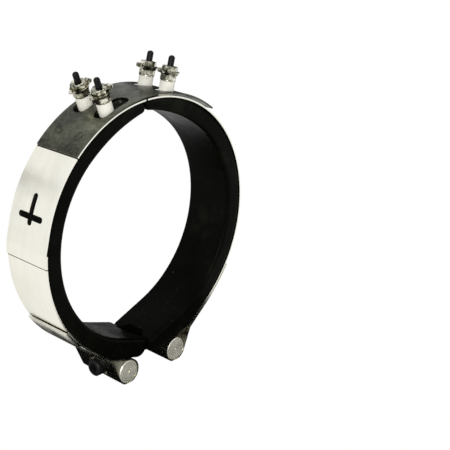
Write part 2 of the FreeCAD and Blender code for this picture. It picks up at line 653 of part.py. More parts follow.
# ------------------------------------------------------------- clamping straps
def looped_outline(sketch, side, start_angle, start_text):
    """From its start down the ring, over and round the barrel and back up as a tail."""
    thick = SIZE["strap_thickness"]
    ring_face = [((0.0, 0.0), HEATER_RADIUS, -1), (BEND, SIZE["run_bend"], -1),
                 (BARREL, LOOP_RADIUS + thick, 1), (TAIL_BEND, SIZE["tail_bend"], -1),
                 ((0.0, 0.0), TAIL_RADIUS + thick, 1)]
    far_face = [(c, r - w * thick, w) for c, r, w in ring_face]
    ring_text = [HEATER_R, "Sizes.run_bend", LOOP_R + " + Sizes.strap_thickness",
                 "Sizes.tail_bend", TAIL_R + " + Sizes.strap_thickness"]
    far_text = [STRAP_R, "Sizes.run_bend + Sizes.strap_thickness", LOOP_R,
                "Sizes.tail_bend + Sizes.strap_thickness", TAIL_R]
    draw = Outline(sketch, side)

    def trace(circles, forwards):
        start = polar(circles[0][1], start_angle)
        stop = polar(circles[-1][1], SIZE["tail_angle"])
        links = [touching_line(a, b) for a, b in zip(circles, circles[1:])]
        marks = [start] + [point for link in links for point in link] + [stop]
        steps = []
        for number, (centre, radius, way) in enumerate(circles):
            steps.append(("arc", centre, radius, marks[2 * number], marks[2 * number + 1], way))
            if number < len(links):
                steps.append(("line", links[number][0], links[number][1]))
        arcs = []
        for step in steps if forwards else reversed(steps):
            if step[0] == "line":
                draw.line(*(step[1:] if forwards else reversed(step[1:])))
                continue
            name, centre, radius, first, last, way = step
            if forwards:
                arcs.append(draw.arc(centre, radius, first, last, way < 0))
            else:
                arcs.append(draw.arc(centre, radius, last, first, way > 0))
        return (arcs if forwards else arcs[::-1]), start, stop

    far, far_start, far_stop = trace(far_face, True)
    end_cap = draw.line(far_stop, polar(ring_face[-1][1], SIZE["tail_angle"]))
    near, near_start, near_stop = trace(ring_face, False)
    start_cap = draw.line(near_start, far_start)
    draw.close()
    for arcs, texts in ((far, far_text), (near, ring_text)):
        draw.centred(arcs[0], arcs[-1])
        for arc, text in zip(arcs, texts):
            draw.radius(arc, text)
        for arc, texts_at in zip(arcs[1:4], (BEND_TEXT, BARREL_TEXT, TAIL_BEND_TEXT)):
            draw.centre_at(arc, texts_at)
    draw.radial(start_cap)
    draw.radial(end_cap)
    draw.across(draw.ends(start_cap)[1], "%s * sin(%s)" % (STRAP_R, start_text))
    draw.across(draw.ends(end_cap)[0], TAIL_R + " * sin(Sizes.tail_angle)")
    finish_sketch(sketch)


def build_looped_strap(doc, name, side, start_angle, start_text):
    body = new_body(doc, name)
    sketch = attach(body, name + "_outline", "XZ_Plane")
    looped_outline(sketch, side, start_angle, start_text)
    pad(body, sketch, name + "_width", "Sizes.heater_width")
    doc.recompute()
    window = attach(body, name + "_window", "YZ_Plane")
    circle(window, (0, SIZE["screw_rise"] - SIZE["barrel_drop"]),
           (SIZE["loop_window"], "Sizes.loop_window"), ("0", "Sizes.screw_rise - Sizes.barrel_drop"))
    finish_sketch(window)
    pocket(body, window, name + "_window_cut", "3 * Sizes.barrel_spacing", symmetric=True)
    doc.recompute()
    return body


def add_slot(sketch, ends, middle, width, end_texts, middle_text, width_text, along_y=False):
    """A slot with round ends along x (or y), every value bound to the sheet."""
    radius = width / 2
    low, high = ends

    def place(u, v):
        return VEC(v, u, 0) if along_y else VEC(u, v, 0)

    turn = math.pi / 2 if along_y else 0.0
    first = sketch.addGeometry(Part.ArcOfCircle(
        Part.Circle(place(high, middle), VEC(0, 0, 1), radius),
        turn - math.pi / 2, turn + math.pi / 2), False)
    second = sketch.addGeometry(Part.ArcOfCircle(
        Part.Circle(place(low, middle), VEC(0, 0, 1), radius),
        turn + math.pi / 2, turn + 3 * math.pi / 2), False)
    up = sketch.addGeometry(Part.LineSegment(
        sketch.getPoint(first, 2), sketch.getPoint(second, 1)), False)
    down = sketch.addGeometry(Part.LineSegment(
        sketch.getPoint(second, 2), sketch.getPoint(first, 1)), False)
    for a, pa, b, pb in ((first, 2, up, 1), (up, 2, second, 1),
                         (second, 2, down, 1), (down, 2, first, 1)):
        sketch.addConstraint(Sketcher.Constraint("Tangent", a, pa, b, pb))
    kinds = ("DistanceY", "DistanceX") if along_y else ("DistanceX", "DistanceY")
    wanted = [
        (Sketcher.Constraint("Radius", first, radius), "%s / 2" % width_text),
        (Sketcher.Constraint(kinds[0], ORIGIN[0], ORIGIN[1], first, 3, high), end_texts[1]),
        (Sketcher.Constraint(kinds[0], ORIGIN[0], ORIGIN[1], second, 3, low), end_texts[0]),
        (Sketcher.Constraint(kinds[1], ORIGIN[0], ORIGIN[1], first, 3, middle), middle_text),
        (Sketcher.Constraint("Vertical" if along_y else "Horizontal", up), None),
    ]
    for constraint, text in wanted:
        number = sketch.addConstraint(constraint)
        if text is not None:
            name = "slot%d_%d" % (first, number)
            sketch.renameConstraint(number, name)
            sketch.setExpression("Constraints." + name, text)


def cut_terminal_slots(doc, body, name, side, size_names, radius, radius_text):
    """Two slots that leave room round the terminals, between two ring angles."""
    start, stop = size_names
    middle = (SIZE[start] + SIZE[stop]) / 2
    half = (SIZE[stop] - SIZE[start]) / 2
    middle_text = "((Sizes.%s + Sizes.%s) / 2)" % (start, stop)
    half_text = "((Sizes.%s - Sizes.%s) / 2)" % (stop, start)
    sketch = radial_sketch(body, name + "_outline", side, middle, SIZE["bore_radius"],
                           middle_text, "Sizes.bore_radius")
    reach = radius * math.sin(math.radians(half)) - SIZE["slot_width"] / 2
    reach_text = "((%s) * sin(%s) - Sizes.slot_width / 2)" % (radius_text, half_text)
    for way in (-1, 1):
        add_slot(sketch, (-reach, reach), way * SIZE["terminal_half_pitch"],
                 SIZE["slot_width"], ("-" + reach_text, reach_text),
                 "%d * Sizes.terminal_half_pitch" % way, "Sizes.slot_width")
    finish_sketch(sketch)
    pocket(body, sketch, name, "3 * Sizes.heater_thickness", reverse=True)
    doc.recompute()


LEFT_SLOTS = ("left_slot_end", "left_slot_start")
RIGHT_SLOTS = ("right_slot_start", "right_slot_end")


def build_upper_strap(doc):
    """Left upper strap: lies on the sheath, then steps up over the lower strap's end."""
    name = "strap_upper"
    body = new_body(doc, name)
    thick = SIZE["strap_thickness"]
    start = math.degrees(math.asin((SIZE["top_shift"] + SIZE["top_gap"] / 2) / STRAP_RADIUS))
    start_text = "asin((Sizes.top_shift + Sizes.top_gap / 2) / %s)" % STRAP_R
    lap = SIZE["seam_angle"] - SIZE["lap_angle"]
    step = lap - SIZE["joggle_angle"]
    lap_text = "(Sizes.seam_angle - Sizes.lap_angle)"
    step_text = "(%s - Sizes.joggle_angle)" % lap_text
    sketch = attach(body, name + "_outline", "XZ_Plane")
    draw = Outline(sketch, -1)
    r0, r1, r2 = HEATER_RADIUS, STRAP_RADIUS, STRAP_RADIUS + thick
    end = SIZE["seam_angle"]
    outer = draw.arc((0, 0), r1, polar(r1, start), polar(r1, step), True)
    draw.line(polar(r1, step), polar(r2, lap))
    lap_outer = draw.arc((0, 0), r2, polar(r2, lap), polar(r2, end), True)
    end_cap = draw.line(polar(r2, end), polar(r1, end))
    lap_inner = draw.arc((0, 0), r1, polar(r1, end), polar(r1, lap), False)
    draw.line(polar(r1, lap), polar(r0, step))
    inner = draw.arc((0, 0), r0, polar(r0, step), polar(r0, start), False)
    start_cap = draw.line(polar(r0, start), polar(r1, start))
    draw.close()
    draw.centred(outer, lap_outer, lap_inner, inner)
    r2_text = "(%s + Sizes.strap_thickness)" % STRAP_R
    draw.radius(outer, STRAP_R)
    draw.radius(lap_outer, r2_text)
    draw.radius(lap_inner, STRAP_R)
    draw.radius(inner, HEATER_R)
    draw.radial(start_cap)
    draw.radial(end_cap)
    draw.across(draw.ends(start_cap)[1], "%s * sin(%s)" % (STRAP_R, start_text))
    draw.up(draw.ends(end_cap)[0], "%s * cos(Sizes.seam_angle)" % r2_text)
    draw.up(draw.ends(outer)[1], "%s * cos(%s)" % (STRAP_R, step_text))
    draw.up(draw.ends(lap_outer)[0], "%s * cos(%s)" % (r2_text, lap_text))
    draw.up(draw.ends(lap_inner)[1], "%s * cos(%s)" % (STRAP_R, lap_text))
    draw.up(draw.ends(inner)[0], "%s * cos(%s)" % (HEATER_R, step_text))
    finish_sketch(sketch)
    pad(body, sketch, name + "_width", "Sizes.heater_width")
    doc.recompute()
    cut_terminal_slots(doc, body, name + "_slots", -1, LEFT_SLOTS, STRAP_RADIUS, STRAP_R)
    # two crossing slots; the sketch's x runs up the strap on this side
    for label, ends, texts, along in (
            ("_long_slot", (-SIZE["cross_lower_length"], SIZE["cross_upper_length"]),
             ("-Sizes.cross_lower_length", "Sizes.cross_upper_length"), False),
            ("_short_slot", (-SIZE["cross_axial_length"] / 2, SIZE["cross_axial_length"] / 2),
             ("-Sizes.cross_axial_length / 2", "Sizes.cross_axial_length / 2"), True)):
        sketch = radial_sketch(body, name + label + "_outline", -1, SIZE["cross_angle"],
                               SIZE["bore_radius"], "Sizes.cross_angle", "Sizes.bore_radius")
        inset = SIZE["cross_slot_width"] / 2
        ends = (ends[0] + inset, ends[1] - inset)
        texts = (texts[0] + " + Sizes.cross_slot_width / 2",
                 texts[1] + " - Sizes.cross_slot_width / 2")
        add_slot(sketch, ends, 0.0, SIZE["cross_slot_width"], texts, "0",
                 "Sizes.cross_slot_width", along)
        finish_sketch(sketch)
        pocket(body, sketch, name + label, "2 * Sizes.heater_thickness", reverse=True)
        doc.recompute()
    return body


# -------------------------------------------------------------- terminal plate
def build_plate(doc):
    """Bridge over both halves: welded to the left strap, free to slide on the right."""
    name = "terminal_plate"
    body = new_body(doc, name)
    left_end, right_end = (math.radians(SIZE[key])
                           for key in ("plate_left_angle", "plate_right_angle"))
    # the arc's middle moves this far right, so that the right end stands off
    shift = SIZE["plate_lift"] / (math.sin(left_end) + math.sin(right_end))
    shift_text = "(Sizes.plate_lift / (sin(Sizes.plate_left_angle) + sin(Sizes.plate_right_angle)))"
    radius = math.sqrt(STRAP_RADIUS ** 2 + 2 * STRAP_RADIUS * shift * math.sin(left_end)
                       + shift ** 2)
    radius_text = ("sqrt(%s ^ 2 + 2 * %s * %s * sin(Sizes.plate_left_angle) + %s ^ 2)"
                   % (STRAP_R, STRAP_R, shift_text, shift_text))
    outer = radius + SIZE["plate_thickness"]
    reach = shift * math.sin(right_end) + math.sqrt(
        radius ** 2 - (shift * math.cos(right_end)) ** 2)
    reach_text = ("(%s * sin(Sizes.plate_right_angle) + sqrt((%s) ^ 2"
                  " - (%s * cos(Sizes.plate_right_angle)) ^ 2))"
                  % (shift_text, radius_text, shift_text))
    centre = (shift, 0.0)
    start = -math.degrees(math.asin((STRAP_RADIUS * math.sin(left_end) + shift) / radius))
    stop = math.degrees(math.asin((reach * math.sin(right_end) - shift) / radius))
    sketch = attach(body, name + "_outline", "XZ_Plane")
    draw = Outline(sketch)
    face = draw.arc(centre, outer, polar(outer, start, centre), polar(outer, stop, centre), True)
    right = draw.line(polar(outer, stop, centre), polar(radius, stop, centre))
    back = draw.arc(centre, radius, polar(radius, stop, centre), polar(radius, start, centre),
                    False)
    left = draw.line(polar(radius, start, centre), polar(outer, start, centre))
    draw.close()
    draw.radius(face, radius_text + " + Sizes.plate_thickness")
    draw.radius(back, radius_text)
    draw.centre_at(face, (shift_text, "0"))
    draw.same_centre(back, face)
    for line in (left, right):
        sketch.addConstraint(Sketcher.Constraint("PointOnObject", face, 3, line))
    draw.across(draw.ends(back)[1], "-%s * sin(Sizes.plate_left_angle)" % STRAP_R)
    draw.across(draw.ends(back)[0], reach_text + " * sin(Sizes.plate_right_angle)")
    finish_sketch(sketch)
    pad(body, sketch, name + "_width", "Sizes.heater_width")
    doc.recompute()

    # two weld nuggets fill the gap under the ring marks
    weld = radial_sketch(body, name + "_nuggets_outline", -1, SIZE["weld_angle"], STRAP_RADIUS,
                         "Sizes.weld_angle", STRAP_R)
    inside = SIZE["weld_diameter"] - 2 * SIZE["weld_groove"]
    for way in (-1, 1):
        circle(weld, (0, way * SIZE["weld_half_pitch"]),
               (inside, "Sizes.weld_diameter - 2 * Sizes.weld_groove"),
               ("0", "%d * Sizes.weld_half_pitch" % way))
    finish_sketch(weld)
    pad(body, weld, name + "_nuggets", "Sizes.plate_thickness / 2", symmetric=False)
    doc.recompute()

    # ring marks round the nuggets
    top = math.sqrt(outer ** 2 - (shift * math.cos(math.radians(SIZE["weld_angle"]))) ** 2) \
        - shift * math.sin(math.radians(SIZE["weld_angle"]))
    top_text = ("sqrt((%s + Sizes.plate_thickness) ^ 2 - (%s * cos(Sizes.weld_angle)) ^ 2)"
                " - %s * sin(Sizes.weld_angle)" % (radius_text, shift_text, shift_text))
    marks = radial_sketch(body, name + "_ring_marks_outline", -1, SIZE["weld_angle"],
                          top + 1.0, "Sizes.weld_angle", top_text + " + 1")
    for way in (-1, 1):
        spot = ("0", "%d * Sizes.weld_half_pitch" % way)
        for size, text in ((SIZE["weld_diameter"], "Sizes.weld_diameter"),
                           (inside, "Sizes.weld_diameter - 2 * Sizes.weld_groove")):
            circle(marks, (0, way * SIZE["weld_half_pitch"]), (size, text), spot)
    finish_sketch(marks)
    pocket(body, marks, name + "_ring_marks", "Sizes.weld_depth + 1")
    doc.recompute()

    for label, side, sizes in (("_left_slots", -1, LEFT_SLOTS), ("_right_slots", 1, RIGHT_SLOTS)):
        cut_terminal_slots(doc, body, name + label, side, sizes, radius, radius_text)
    return body


# ------------------------------------------------------------------- terminals
# Each terminal piece is drawn about its stud: local z is the distance from the
# ring's axis, local x runs round the ring.
def revolve(body, sketch, name, axis="V_Axis"):
    feature = body.newObject("PartDesign::Revolution", name)
    feature.Profile = sketch
    feature.ReferenceAxis = (sketch, [axis])
    feature.Angle = 360
    return feature


STUD_BORE = SIZE["stud_diameter"] / 2 + SIZE["stud_play"]
STUD_BORE_TEXT = "Sizes.stud_diameter / 2 + Sizes.stud_play"
LEVELS = {}
LEVEL_TEXTS = {}
_value, _text = HEATER_RADIUS, HEATER_R
for _name, _size in (("bushing", "bushing_height"), ("washer", "washer_thickness"),
                     ("lower_nut", "nut_height"), ("tab_washer", "cup_thickness"),
                     ("upper_nut", "upper_nut_height"), ("tip", "stud_tip")):
    LEVELS[_name], LEVEL_TEXTS[_name] = _value, _text
    _value, _text = _value + SIZE[_size], _text + " + Sizes." + _size
LEVELS["end"], LEVEL_TEXTS["end"] = _value, _text


def terminal_body(doc, name, side, angle_text, row):
    body = new_body(doc, name)
    body.Placement = FreeCAD.Placement(VEC(0, 0, 0), FreeCAD.Rotation(VEC(0, side, 0), 10))
    body.setExpression("Placement.Rotation.Angle", angle_text)
    body.setExpression("Placement.Base.y", "%d * Sizes.terminal_half_pitch" % row)
    return body


def build_stud(doc, name, side, angle_text, row):
    body = terminal_body(doc, name, side, angle_text, row)
    foot = SIZE["element_radius"] + SIZE["element_thickness"]
    foot_text = "Sizes.element_radius + Sizes.element_thickness"
    head, head_text = SIZE["stud_head_diameter"] / 2, "Sizes.stud_head_diameter / 2"
    radius, radius_text = SIZE["stud_diameter"] / 2, "Sizes.stud_diameter / 2"
    neck, neck_text = foot + SIZE["stud_head_height"], foot_text + " + Sizes.stud_head_height"
    slim, slim_text = SIZE["stud_end_diameter"] / 2, "Sizes.stud_end_diameter / 2"
    step, step_text = LEVELS["tip"] + 0.3, LEVEL_TEXTS["tip"] + " + 0.3"
    end, end_text = LEVELS["end"], LEVEL_TEXTS["end"]
    sketch = attach(body, name + "_outline", "XZ_Plane")
    trace_closed(sketch, [
        (0.0, "0", foot, foot_text),
        (head, head_text, foot, foot_text),
        (head, head_text, neck, neck_text),
        (radius, radius_text, neck, neck_text),
        (radius, radius_text, step, step_text),
        (slim, slim_text, step, step_text),
        (slim, slim_text, end, end_text),
        (0.0, "0", end, end_text)])
    turned = revolve(body, sketch, name + "_turned")
    doc.recompute()
    rim = ["Edge%d" % n for n, edge in enumerate(turned.Shape.Edges, start=1)
           if edge.BoundBox.ZLength < 1e-6 and abs(edge.BoundBox.ZMin - end) < 1e-6]
    tip = body.newObject("PartDesign::Fillet", name + "_tip")
    tip.Base = (turned, rim)
    tip.setExpression("Radius", "Sizes.stud_end_diameter * 0.45")
    doc.recompute()
    return body


def build_bushing(doc, name, side, angle_text, row):
    body = terminal_body(doc, name, side, angle_text, row)
    low, low_text = HEATER_RADIUS - SIZE["sheath_wall"], HEATER_R + " - Sizes.sheath_wall"
    seat, seat_text = HEATER_RADIUS, HEATER_R
    top, top_text = LEVELS["washer"], LEVEL_TEXTS["washer"]
    bore, bore_text = SIZE["bushing_bore"] / 2, "Sizes.bushing_bore / 2"
    neck, neck_text = SIZE["bushing_neck"] / 2, "Sizes.bushing_neck / 2"
    out, out_text = SIZE["bushing_diameter"] / 2, "Sizes.bushing_diameter / 2"
    bevel = SIZE["bushing_chamfer"]
    sketch = attach(body, name + "_outline", "XZ_Plane")
    trace_closed(sketch, [
        (bore, bore_text, low, low_text),
        (neck, neck_text, low, low_text),
        (neck, neck_text, seat, seat_text),
        (out, out_text, seat, seat_text),
        (out, out_text, top - bevel, top_text + " - Sizes.bushing_chamfer"),
        (out - bevel, out_text + " - Sizes.bushing_chamfer", top, top_text),
        (bore, bore_text, top, top_text)])
    revolve(body, sketch, name + "_turned")
    doc.recompute()
    return body


def build_washer(doc, name, side, angle_text, row):
    body = terminal_body(doc, name, side, angle_text, row)
    low, low_text = LEVELS["washer"], LEVEL_TEXTS["washer"]
    top, top_text = LEVELS["lower_nut"], LEVEL_TEXTS["lower_nut"]
    out, out_text = SIZE["washer_diameter"] / 2, "Sizes.washer_diameter / 2"
    sketch = attach(body, name + "_outline", "XZ_Plane")
    trace_closed(sketch, [
        (STUD_BORE, STUD_BORE_TEXT, low, low_text), (out, out_text, low, low_text),
        (out, out_text, top, top_text), (STUD_BORE, STUD_BORE_TEXT, top, top_text)])
    revolve(body, sketch, name + "_turned")
    doc.recompute()
    return body


def hexagon(sketch, flats, flats_text):
    """A regular hexagon round the sketch's origin, two flats square to x."""
    corner = flats / math.sqrt(3)
    corners = [VEC(corner * math.cos(math.radians(30 + 60 * n)),
                   corner * math.sin(math.radians(30 + 60 * n)), 0) for n in range(6)]
    guide = sketch.addGeometry(Part.Circle(VEC(0, 0, 0), VEC(0, 0, 1), corner), True)
    sketch.addConstraint(Sketcher.Constraint("Coincident", guide, 3, ORIGIN[0], ORIGIN[1]))
    number = sketch.addConstraint(Sketcher.Constraint("Radius", guide, corner))
    sketch.renameConstraint(number, "corner")
    sketch.setExpression("Constraints.corner", "%s / sqrt(3)" % flats_text)
    sides = [sketch.addGeometry(Part.LineSegment(corners[n], corners[(n + 1) % 6]), False)
             for n in range(6)]
    for n in range(6):
        following = sides[(n + 1) % 6]
        sketch.addConstraint(Sketcher.Constraint("Coincident", sides[n], 2, following, 1))
        sketch.addConstraint(Sketcher.Constraint("PointOnObject", sides[n], 1, guide))
    for n in range(1, 6):
        sketch.addConstraint(Sketcher.Constraint("Equal", sides[0], sides[n]))
    sketch.addConstraint(Sketcher.Constraint("Vertical", sides[5]))
    finish_sketch(sketch)


def build_nut(doc, name, side, angle_text, row, level, level_above, height):
    body = terminal_body(doc, name, side, angle_text, row)
    low, low_text = LEVELS[level], LEVEL_TEXTS[level]
    top, top_text = LEVELS[level_above], LEVEL_TEXTS[level_above]
    sketch = attach(body, name + "_hexagon", "XY_Plane",
                    FreeCAD.Placement(VEC(0, 0, low), FreeCAD.Rotation()))
    sketch.setExpression("AttachmentOffset.Base.z", low_text)
    hexagon(sketch, SIZE["nut_flats"], "Sizes.nut_flats")
    pad(body, sketch, name + "_height", "Sizes." + height, symmetric=False)
    bore = attach(body, name + "_bore_circle", "XY_Plane",
                  FreeCAD.Placement(VEC(0, 0, low), FreeCAD.Rotation()))
    bore.setExpression("AttachmentOffset.Base.z", low_text)
    circle(bore, (0, 0), (2 * STUD_BORE, "Sizes.stud_diameter + 2 * Sizes.stud_play"))
    finish_sketch(bore)
    pocket(body, bore, name + "_bore", "Sizes." + height, reverse=True)
    # both faces are turned down at the corners
    bevel, flats = SIZE["nut_bevel"], SIZE["nut_flats"]
    inner, inner_text = flats / 2 - 0.1, "Sizes.nut_flats / 2 - 0.1"
    outer, outer_text = flats / math.sqrt(3) + 0.2, "Sizes.nut_flats / sqrt(3) + 0.2"
    for label, base, base_text, way in (("_top_bevel", top, top_text, -1),
                                        ("_low_bevel", low, low_text, 1)):
        edge = attach(body, name + label + "_outline", "XZ_Plane")
        trace_closed(edge, [
            (inner, inner_text, base, base_text),
            (outer, outer_text, base, base_text),
            (outer, outer_text, base + way * bevel, "%s + %d * Sizes.nut_bevel"
             % (base_text, way))])
        groove = body.newObject("PartDesign::Groove", name + label)
        groove.Profile = edge
        groove.ReferenceAxis = (edge, ["V_Axis"])
        groove.Angle = 360
    doc.recompute()
    return body


def build_tab_washer(doc, name, side, angle_text, row):
    """Cupped washer with a pointed tab on one side and a curled ear on the other."""
    body = terminal_body(doc, name, side, angle_text, row)
    low, low_text = LEVELS["tab_washer"], LEVEL_TEXTS["tab_washer"]
    top, top_text = low + SIZE["cup_rim"], low_text + " + Sizes.cup_rim"
    thick = SIZE["cup_thickness"]
    rim, rim_text = SIZE["cup_diameter"] / 2, "Sizes.cup_diameter / 2"
    flat, flat_text = SIZE["cup_floor"] / 2, "Sizes.cup_floor / 2"
    floor, floor_text = low + thick, low_text + " + Sizes.cup_thickness"
    sketch = attach(body, name + "_outline", "XZ_Plane")
    trace_closed(sketch, [
        (STUD_BORE, STUD_BORE_TEXT, low, low_text),
        (flat, flat_text, low, low_text),
        (rim, rim_text, top, top_text),
        (rim - 0.6, rim_text + " - 0.6", top, top_text),
        (flat, flat_text, floor, floor_text),
        (STUD_BORE, STUD_BORE_TEXT, floor, floor_text)])
    revolve(body, sketch, name + "_pressed")
    tab = attach(body, name + "_tab_outline", "XY_Plane",
                 FreeCAD.Placement(VEC(0, 0, top - thick), FreeCAD.Rotation()))
    tab.setExpression("AttachmentOffset.Base.z", top_text + " - Sizes.cup_thickness")
    half, half_text = SIZE["tab_width"] / 2, "Sizes.tab_width / 2"
    root, root_text = rim - 0.75, rim_text + " - 0.75"
    point = side * SIZE["tab_reach"], "%d * Sizes.tab_reach" % side
    trace_closed(tab, [
        (side * root, "%d * (%s)" % (side, root_text), -half, "-" + half_text),
        (*point, -0.5, "-0.5"),
        (*point, 0.5, "0.5"),
        (side * root, "%d * (%s)" % (side, root_text), half, half_text)])
    pad(body, tab, name + "_tab", "Sizes.cup_thickness", symmetric=False)
    ear = attach(body, name + "_ear_circles", "XZ_Plane")
    curl = rim + 0.9
    for size, text in ((SIZE["ear_curl"], "Sizes.ear_curl"),
                       (SIZE["ear_curl"] - 2 * thick, "Sizes.ear_curl - 2 * Sizes.cup_thickness")):
        circle(ear, (-side * curl, top), (size, text),
               ("%d * (%s + 0.9)" % (-side, rim_text), top_text))
    finish_sketch(ear)
    pad(body, ear, name + "_ear", "Sizes.ear_width")
    doc.recompute()
    return body


def build_terminal(doc, place, side, angle_text, row):
    """All the pieces of one terminal, from the ribbon outwards."""
    common = (side, angle_text, row)
    return [
        build_stud(doc, "terminal_stud_" + place, *common),
        build_bushing(doc, "bushing_" + place, *common),
        build_washer(doc, "washer_" + place, *common),
        build_nut(doc, "lower_nut_" + place, *common, "lower_nut", "tab_washer", "nut_height"),
        build_tab_washer(doc, "tab_washer_" + place, *common),
        build_nut(doc, "upper_nut_" + place, *common, "upper_nut", "tip", "upper_nut_height"),
    ]


# ----------------------------------------------------------- barrels and screw
BARREL_UP = "%s + Sizes.strap_thickness" % LOOP_R


def build_barrel(doc, name, side):
    body = new_body(doc, name, lifted=False)
    body.setExpression("Placement.Base.x", "%d * Sizes.barrel_spacing / 2" % side)
    body.setExpression("Placement.Base.z", BARREL_UP)
    sketch = attach(body, name + "_circle", "XZ_Plane")
    circle(sketch, (0, 0), (SIZE["barrel_diameter"], "Sizes.barrel_diameter"))
    finish_sketch(sketch)
    bar = pad(body, sketch, name + "_length", "Sizes.heater_width")
    doc.recompute()
    bevel = body.newObject("PartDesign::Chamfer", name + "_ends")
    bevel.Base = (bar, long_edges(bar.Shape, SIZE["heater_width"] / 2))
    bevel.setExpression("Size", "Sizes.barrel_chamfer")
    doc.recompute()
    # turned centres
    for label, way in (("_near_centre", 1), ("_far_centre", -1)):
        centre = attach(body, name + label + "_circle", "XZ_Plane",
                        FreeCAD.Placement(VEC(0, 0, way * SIZE["heater_width"] / 2),
                                          FreeCAD.Rotation()))
        centre.setExpression("AttachmentOffset.Base.z", "%d * Sizes.heater_width / 2" % way)
        circle(centre, (0, 0), (SIZE["barrel_centre_mark"], "Sizes.barrel_centre_mark"))
        finish_sketch(centre)
        pocket(body, centre, name + label, "Sizes.barrel_chamfer", reverse=way < 0)
    hole = attach(body, name + "_hole_circle", "YZ_Plane")
    play, play_text = ("screw_clearance", "Sizes.screw_clearance")
    if side > 0:
        play, play_text = ("thread_play", "Sizes.thread_play")
    circle(hole, (0, SIZE["screw_rise"]), (SIZE["screw_diameter"] + 2 * SIZE[play],
                                           "Sizes.screw_diameter + 2 * " + play_text),
           ("0", "Sizes.screw_rise"))
    finish_sketch(hole)
    pocket(body, hole, name + "_hole", "2 * Sizes.barrel_diameter", symmetric=True)
    if side < 0:
        flat = attach(body, name + "_seat_circle", "YZ_Plane",
                      FreeCAD.Placement(VEC(0, 0, SIZE["seat_depth"] - BARREL_RADIUS),
                                        FreeCAD.Rotation()))
        flat.setExpression("AttachmentOffset.Base.z",
                           "Sizes.seat_depth - Sizes.barrel_diameter / 2")
        circle(flat, (0, SIZE["screw_rise"]), (SIZE["seat_diameter"], "Sizes.seat_diameter"),
               ("0", "Sizes.screw_rise"))
        finish_sketch(flat)
        pocket(body, flat, name + "_seat", "Sizes.seat_depth + 1")
    doc.recompute()
    return body


def build_screw(doc):
    name = "clamp_screw"
    body = new_body(doc, name, lifted=False)
    body.setExpression("Placement.Base.x", "-Sizes.barrel_spacing / 2"
                       " - Sizes.barrel_diameter / 2 + Sizes.seat_depth")
    body.setExpression("Placement.Base.z", BARREL_UP + " + Sizes.screw_rise")
    head, head_text = SIZE["head_diameter"] / 2, "Sizes.head_diameter / 2"
    radius, radius_text = SIZE["screw_diameter"] / 2, "Sizes.screw_diameter / 2"
    far, far_text = -SIZE["head_height"], "-Sizes.head_height"
    end, end_text = SIZE["screw_length"], "Sizes.screw_length"
    sketch = attach(body, name + "_outline", "XZ_Plane")
    trace_closed(sketch, [
        (far, far_text, 0.0, "0"),
        (far, far_text, head - 0.8, head_text + " - 0.8"),
        (far + 0.8, far_text + " + 0.8", head, head_text),
        (0.0, "0", head, head_text),
        (0.0, "0", radius, radius_text),
        (end - 1.0, end_text + " - 1", radius, radius_text),
        (end, end_text, radius - 1.0, radius_text + " - 1"),
        (end, end_text, 0.0, "0")])
    revolve(body, sketch, name + "_turned", "H_Axis")
    doc.recompute()
    socket = attach(body, name + "_socket_hexagon", "YZ_Plane",
                    FreeCAD.Placement(VEC(0, 0, far), FreeCAD.Rotation()))
    socket.setExpression("AttachmentOffset.Base.z", far_text)
    hexagon(socket, SIZE["socket_flats"], "Sizes.socket_flats")
    pocket(body, socket, name + "_socket", "Sizes.socket_depth", reverse=True)
    doc.recompute()
    return body


# ------------------------------------------------------------------------ build
def build_all(doc):
    left = ("Sizes.left_terminal_angle", SIZE["left_terminal_angle"])
    right = ("Sizes.right_terminal_angle", SIZE["right_terminal_angle"])
    parts = []
    parts += build_half(doc, "left", -1, left[1], left[0])
    parts += build_half(doc, "right", 1, right[1], right[0])
    lap = SIZE["seam_angle"] - SIZE["lap_angle"] + 0.3
    parts.append(build_looped_strap(doc, "strap_left", -1, lap,
                                    "(Sizes.seam_angle - Sizes.lap_angle + 0.3)"))
    edge = SIZE["top_shift"] - SIZE["top_gap"] / 2
    start = -math.degrees(math.asin(edge / STRAP_RADIUS))
    strap_right = build_looped_strap(
        doc, "strap_right", 1, start,
        "(-asin((Sizes.top_shift - Sizes.top_gap / 2) / %s))" % STRAP_R)
    cut_terminal_slots(doc, strap_right, "strap_right_slots", 1, RIGHT_SLOTS, STRAP_RADIUS, STRAP_R)
    parts.append(strap_right)
    parts.append(build_upper_strap(doc))
    parts.append(build_plate(doc))
    for side_name, side, angle_text in (("left", -1, left[0]), ("right", 1, right[0])):
        for row_name, row in (("near", -1), ("far", 1)):
            parts += build_terminal(doc, "%s_%s" % (side_name, row_name), side, angle_text, row)
    parts.append(build_barrel(doc, "barrel_left", -1))
    parts.append(build_barrel(doc, "barrel_right", 1))
    parts.append(build_screw(doc))
    return parts


def check(doc, parts):
    for item in doc.Objects:
        for word in ("Invalid", "Error"):
            if word in item.State:
                raise RuntimeError("%s is %s" % (item.Label, word))
    for item in parts:
        shape = item.Shape
        if shape.isNull() or not shape.isValid() or len(shape.Solids) != 1:
            raise RuntimeError("%s has no single valid solid" % item.Label)


def main():
    doc = FreeCAD.newDocument("band_heater")
    build_sheet(doc)
    parts = build_all(doc)
    doc.recompute()
    check(doc, parts)
    os.makedirs("parts", exist_ok=True)
    for item in parts:
        item.Shape.exportStep("parts/%s.step" % item.Label)
    print("wrote %d pieces" % len(parts))


main()
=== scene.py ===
"""Band heater: looks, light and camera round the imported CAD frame."""

import bmesh
import bpy
import math
from mathutils import Matrix, Vector

